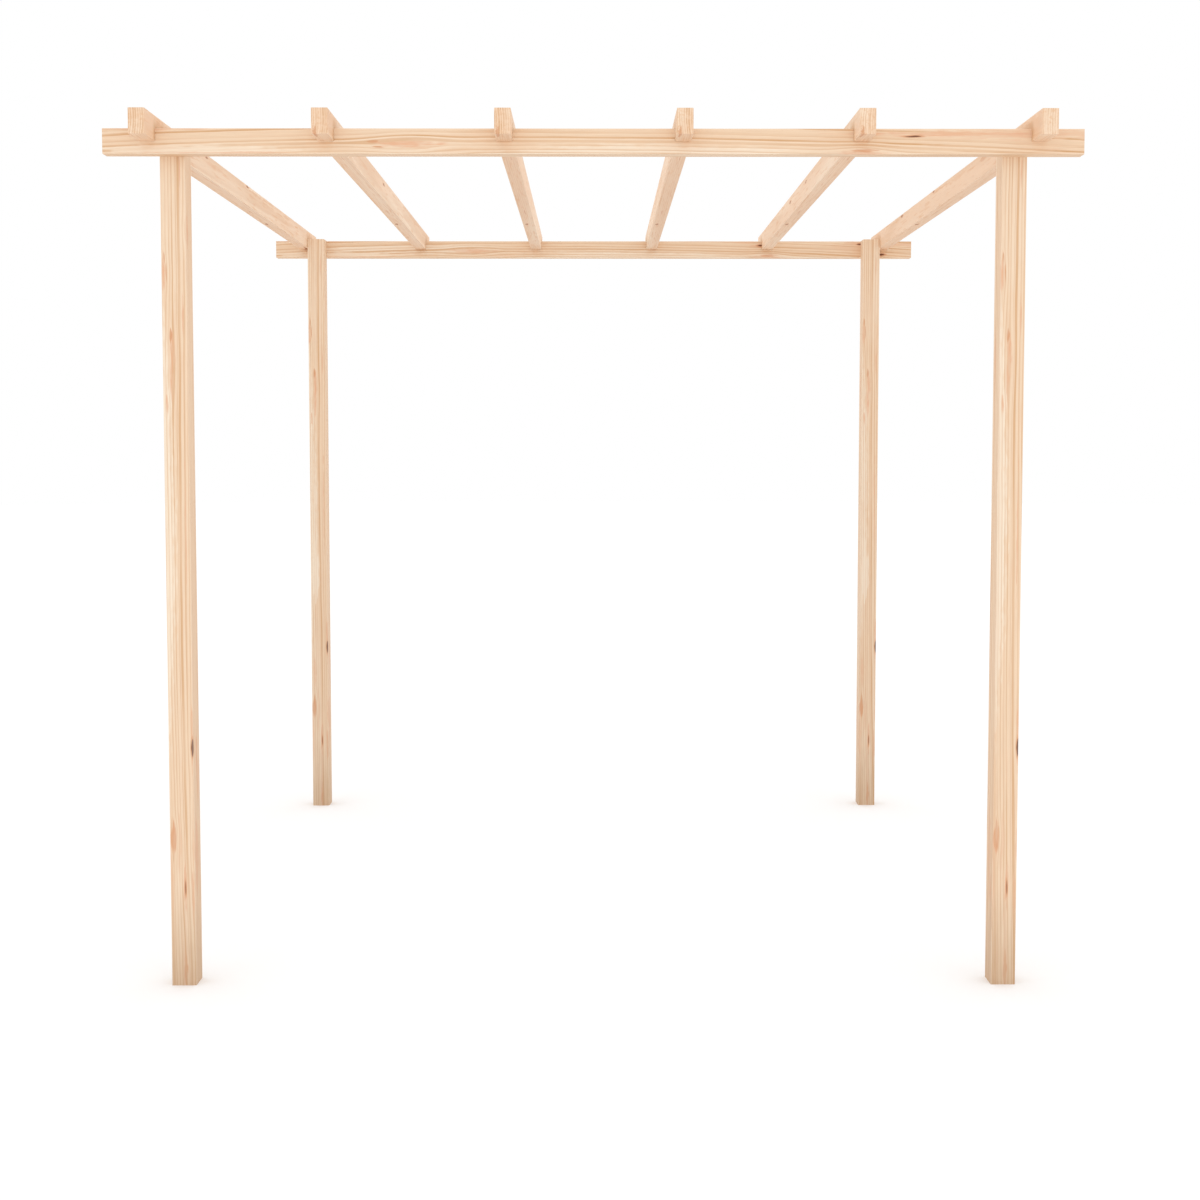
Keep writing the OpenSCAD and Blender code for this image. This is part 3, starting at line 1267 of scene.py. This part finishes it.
@dataclass
class Screws:
    """The countersunk screws of the frame, all on faces that look away from the front.

    Sizes are in metres. A screw is made with its head at the origin and its point down -Z.
    """

    head_radius: float = 5.5 * MM
    head_depth: float = 3.6 * MM
    shank_radius: float = 2.6 * MM
    point_length: float = 9.0 * MM
    point_share: float = 0.08
    proud: float = 0.2 * MM
    recess_radius: float = 2.7 * MM
    recess_waist: float = 0.74
    recess_depth: float = 0.14 * MM
    recess_lobes: int = 6
    segments: int = 24
    long: float = 100 * MM
    short: float = 80 * MM
    beam_screw_drop: Pair = (17 * MM, 52 * MM)
    beam_screw_offset: float = 15 * MM
    tie_screw_drop: float = 17 * MM

    def build(self, finish: ZincFinish, groups: "ZincGroups") -> None:
        """Builds the three sets of screws.

        Args:
            finish: The plated finish.
            groups: The shared effects.
        """
        materials = groups.materials(finish)
        self._set("rafter_screws", self._rafter_places(), materials)
        self._set("beam_screws", self._beam_places(), materials)
        self._set("tie_screws", self._tie_places(), materials)

    def _rafter_places(self) -> list[ScrewPlace]:
        """Places a screw down through each rafter into each beam.

        Returns:
            The place and length of each screw.
        """
        places = []
        for number in range(1, Rafters.count + 1):
            low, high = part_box(f"rafter_{number}")
            for beam in BEAMS:
                beam_low, beam_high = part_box(beam)
                at = Vector(((low[0] + high[0]) / 2, (beam_low[1] + beam_high[1]) / 2, high[2]))
                places.append((Matrix.Translation(at), self.short))
        return places

    def _beam_places(self) -> list[ScrewPlace]:
        """Places two screws through each joint of a post and a beam, driven towards the front.

        Returns:
            The place and length of each screw.
        """
        away_from_front = Matrix.Rotation(-math.pi / 2, 4, "X")
        places = []
        for post in POSTS:
            low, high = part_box(post)
            head_y = high[1] if post.startswith("front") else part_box("back_beam")[1][1]
            middle = (low[0] + high[0]) / 2
            inward = -1.0 if middle > 0 else 1.0
            for drop, offset in zip(self.beam_screw_drop, (1.0, -1.0)):
                at = Vector((middle + inward * offset * self.beam_screw_offset, head_y, high[2] - drop))
                places.append((Matrix.Translation(at) @ away_from_front, self.long))
        return places

    def _tie_places(self) -> list[ScrewPlace]:
        """Places a screw through each outer rafter into each post beside it.

        Returns:
            The place and length of each screw.
        """
        places = []
        for post in POSTS:
            low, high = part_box(post)
            left = low[0] < 0
            rafter_low, rafter_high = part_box("rafter_1" if left else f"rafter_{Rafters.count}")
            outward = Matrix.Rotation(-math.pi / 2 if left else math.pi / 2, 4, "Y")
            head_x = rafter_low[0] if left else rafter_high[0]
            at = Vector((head_x, (low[1] + high[1]) / 2, high[2] - self.tie_screw_drop))
            places.append((Matrix.Translation(at) @ outward, self.short))
        return places

    def _set(self, name: str, places: list[ScrewPlace], materials: list[bpy.types.Material]) -> None:
        """Builds one set of screws as a piece.

        Args:
            name: Name of the piece.
            places: Place and length of each screw.
            materials: The plated finish, and the dark finish of the recesses that paints their shade.
        """
        bm = bmesh.new()
        for matrix, length in places:
            self._screw(bm, matrix, length)
        bm.verts.index_update()
        total = len(bm.verts)
        # The extrusions make their faces in another order on each run
        bm.faces.sort(key=lambda face: self._rank(face, total))
        piece = make_object(name, bm, materials)
        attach(piece, BODY)
        LOG.info("%s: %d screws", name, len(places))

    @staticmethod
    def _rank(face: bmesh.types.BMFace, total: int) -> int:
        """Ranks a face by its last and its first vertex, out of a total number of vertices."""
        indices = [vert.index for vert in face.verts]
        return max(indices) * total + min(indices)

    def _screw(self, bm: bmesh.types.BMesh, matrix: Matrix, length: float) -> None:
        """Adds one screw.

        Args:
            bm: The mesh it goes into.
            matrix: Its place.
            length: From the top of its head to its point.
        """
        head = bmesh.ops.create_circle(bm, cap_ends=True, segments=self.segments, radius=self.head_radius,
                                       matrix=Matrix.Translation((0.0, 0.0, self.proud)))
        made = list(head["verts"])
        top = head["verts"][0].link_faces[0]
        rim = list(top.edges)
        rings = ((self.head_radius, -self.proud),
                 (self.shank_radius, -self.head_depth),
                 (self.shank_radius, -length + self.point_length),
                 (self.shank_radius * self.point_share, -length))
        for radius, level in rings:
            grown = bmesh.ops.extrude_edge_only(bm, edges=rim)["geom"]
            verts = [v for v in grown if isinstance(v, bmesh.types.BMVert)]
            rim = [e for e in grown if isinstance(e, bmesh.types.BMEdge)]
            for v in verts:
                flat = Vector((v.co.x, v.co.y, 0.0)).normalized() * radius
                v.co = (flat.x, flat.y, level)
            made.extend(verts)
        bmesh.ops.contextual_create(bm, geom=rim)
        made.extend(self._recess(bm, top))
        faces = dict.fromkeys(f for v in made for f in v.link_faces)
        bmesh.ops.recalc_face_normals(bm, faces=list(faces))
        bmesh.ops.transform(bm, matrix=matrix, verts=made)

    def _recess(self, bm: bmesh.types.BMesh, top: bmesh.types.BMFace) -> list[bmesh.types.BMVert]:
        """Sinks the six-lobed drive into a head.

        Args:
            bm: The mesh.
            top: The flat face of the head.

        Returns:
            The vertices that it adds.
        """
        bmesh.ops.inset_individual(bm, faces=[top], thickness=self.head_radius - self.recess_radius)
        for v in top.verts:
            lobe = math.cos(self.recess_lobes * math.atan2(v.co.y, v.co.x))
            share = self.recess_waist + (1.0 - self.recess_waist) * (lobe + 1.0) / 2
            v.co.x *= share
            v.co.y *= share
        added = list(top.verts)
        sunk = bmesh.ops.extrude_discrete_faces(bm, faces=[top])["faces"][0]
        for v in sunk.verts:
            v.co.z -= self.recess_depth
        # The shallow floor of the drive takes the dark finish, as painted shade of a deep recess.
        sunk.material_index = 1
        added.extend(sunk.verts)
        return added


class ZincGroups:
    """The plated finish of the screws. Waves are counted in a metre."""

    CLOUD_WAVES = (260.0, 260.0, 260.0)
    FINE_WAVES = (2600.0, 2600.0, 2600.0)
    DULLED = (0.35, 0.7)
    ROUGHNESS = 0.24
    ROUGHER_FINE = 0.12
    ROUGHER_DULL = 0.2

    def __init__(self) -> None:
        """Builds the shared effect."""
        self.mottle = self._zinc_mottle()

    def _zinc_mottle(self) -> bpy.types.NodeTree:
        """Builds the group for the spangle and the dulling of a zinc plate.

        Returns:
            The group.
        """
        g = GroupGraph("zinc_mottle", {"Place": "vector", "Bright": "colour", "Dull": "colour"},
                       {"Colour": "colour", "Roughness": "value", "Height": "value"})
        cloudy = g.noise(g.given("Place"), self.CLOUD_WAVES, 3.0)
        fine = g.noise(g.given("Place"), self.FINE_WAVES, 2.0)
        dulled = g.step(cloudy, *self.DULLED)
        g.give("Colour", g.blend(dulled, g.given("Bright"), g.given("Dull")))
        rough = g.math("MULTIPLY_ADD", fine, self.ROUGHER_FINE, self.ROUGHNESS)
        g.give("Roughness", g.math("MULTIPLY_ADD", dulled, self.ROUGHER_DULL, rough))
        g.give("Height", fine)
        return g.tree

    def materials(self, finish: ZincFinish) -> list[bpy.types.Material]:
        """Makes the finish of the heads, and the dark finish of their recesses that paints their shade.

        Args:
            finish: The finish.

        Returns:
            The two materials.
        """
        return [self._material("zinc_plate", finish, finish.bright, finish.dull),
                self._material("zinc_recess_shade", finish, finish.dull, finish.recess)]

    def _material(self, name: str, finish: ZincFinish, bright: Colour, dull: Colour) -> bpy.types.Material:
        """Makes one plated material.

        Args:
            name: Its name.
            finish: The finish.
            bright: Colour of the fresh plate.
            dull: Colour where it has dulled.

        Returns:
            The material.
        """
        g = Surface(name)
        place = g.node("ShaderNodeTexCoord").outputs["Object"]
        mottle = g.place(self.mottle, place=place, bright=bright, dull=dull)
        g.coat(mottle, finish.bump_strength, finish.bump_depth)
        g.feed(g.shader.inputs["Metallic"], finish.metallic)
        return g.material


@dataclass
class Studio:
    """The plain floor, the even light round the frame and the soft lamp in front.

    Attributes:
        floor_radius: Radius of the round floor in metres.
        floor_segments: Sides of the round floor.
        bounce_under: Colour of the light that the floor throws up from under the frame.
        bounce_round: Colour of the light that it throws up from farther out.
        bounce_reach: Distances between which the one turns into the other.
        white: What shows of the floor and the background.
        sky_level: Strength of the even light.
        lamp_power: Power of the lamp in watts.
        lamp_size: Its width and height in metres.
        lamp_place: Where it hangs.
        lamp_aim: What it points at.
    """

    floor_radius: float = 40.0
    floor_segments: int = 96
    bounce_under: Colour = (0.465, 0.372, 0.306, 1.0)
    bounce_round: Colour = (0.92, 0.89, 0.86, 1.0)
    bounce_reach: Pair = (1.1, 2.1)
    white: Colour = (1.0, 1.0, 1.0, 1.0)
    sky_level: float = 1.05
    lamp_power: float = 6.0
    lamp_size: Pair = (3.0, 2.2)
    lamp_place: Triple = (0.0, -4.8, 1.7)
    lamp_aim: Triple = (0.0, 0.0, 1.4)

    def build(self) -> None:
        """Builds the floor, the world and the lamp."""
        self._floor()
        self._world()
        self._lamp()
        LOG.info("studio: floor, even light and one soft lamp")

    def _seen(self, g: Graph) -> Socket:
        """Tells what shows from what only lights.

        Args:
            g: The nodes of the floor or the world.

        Returns:
            1 for what shows to the camera, directly or in metal and glass, and 0 for light that lights.
        """
        path = g.node("ShaderNodeLightPath")
        seen = g.math("MAXIMUM", path.outputs["Is Camera Ray"], path.outputs["Is Glossy Ray"])
        return g.math("MAXIMUM", seen, path.outputs["Is Transmission Ray"])

    def _floor(self) -> None:
        """Lays the floor under the posts."""
        bm = bmesh.new()
        bmesh.ops.create_circle(bm, cap_ends=True, segments=self.floor_segments, radius=self.floor_radius)
        g = Surface("pale_floor")
        place = g.node("ShaderNodeTexCoord").outputs["Object"]
        outside = g.step(g.vector("LENGTH", place), *self.bounce_reach)
        bounce = g.blend(outside, self.bounce_under, self.bounce_round)
        g.feed(g.shader.inputs["Base Color"], g.blend(self._seen(g), bounce, self.white))
        g.feed(g.shader.inputs["Roughness"], 1.0)
        g.feed(g.shader.inputs["Specular IOR Level"], 0.0)
        floor = make_object("floor", bm, [g.material])

    def _world(self) -> None:
        """Lights the frame evenly from all round, before a white background."""
        world = bpy.data.worlds.new("even_light")
        world.use_nodes = True
        bpy.context.scene.world = world
        g = Graph(world.node_tree)
        background = world.node_tree.nodes["Background"]
        g.feed(background.inputs["Color"], self.white)
        strength = g.math("MULTIPLY_ADD", self._seen(g), 1.0 - self.sky_level, self.sky_level)
        g.feed(background.inputs["Strength"], strength)

    def _lamp(self) -> None:
        """Hangs the soft lamp in front of the frame."""
        data = bpy.data.lights.new("front_lamp", "AREA")
        data.shape = "RECTANGLE"
        data.size, data.size_y = self.lamp_size
        data.energy = self.lamp_power
        lamp = bpy.data.objects.new("front_lamp", data)
        lamp.location = self.lamp_place
        toward = Vector(self.lamp_aim) - Vector(self.lamp_place)
        lamp.rotation_euler = toward.to_track_quat("-Z", "Y").to_euler()
        lamp.visible_camera = False
        bpy.context.scene.collection.objects.link(lamp)


@dataclass
class FrontCamera:
    """The camera in front of the frame, at about eye level.

    Attributes:
        sensor: Width of the sensor in millimetres.
        lens: Focal length in millimetres.
        place: Where it stands, in metres.
        look_down: Angle below level in radians.
        look_right: Angle to the right in radians.
        shift_up: Upward shift of the picture as a share of its width.
    """

    sensor: float = 36.0
    lens: float = 48.842
    place: Triple = (-0.00023, -5.75758, 1.52912)
    look_down: float = 0.05781
    look_right: float = 0.00378
    shift_up: float = -0.0488

    def build(self) -> None:
        """Sets up the camera."""
        data = bpy.data.cameras.new("front_camera")
        data.sensor_width = self.sensor
        data.lens = self.lens
        data.shift_y = self.shift_up
        camera = bpy.data.objects.new("front_camera", data)
        camera.location = self.place
        camera.rotation_euler = (math.pi / 2 - self.look_down, 0.0, -self.look_right)
        bpy.context.scene.collection.objects.link(camera)
        bpy.context.scene.camera = camera
        LOG.info("camera: %.1f mm lens", self.lens)


def main() -> None:
    """Dresses the timbers, drives the screws and sets up the studio and the camera."""
    logging.basicConfig(level=logging.INFO, format="%(name)s: %(message)s")
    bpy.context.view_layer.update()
    bpy.context.scene.view_settings.view_transform = "Standard"
    FrontCamera().build()
    Studio().build()
    softwood = SoftwoodGroups()
    for assembly in (Posts(), Beams(), Rafters()):
        for timber in assembly.timbers():
            timber.dress(assembly.finish, softwood)
    Screws().build(ZincFinish(), ZincGroups())


if __name__ == "__main__":
    main()
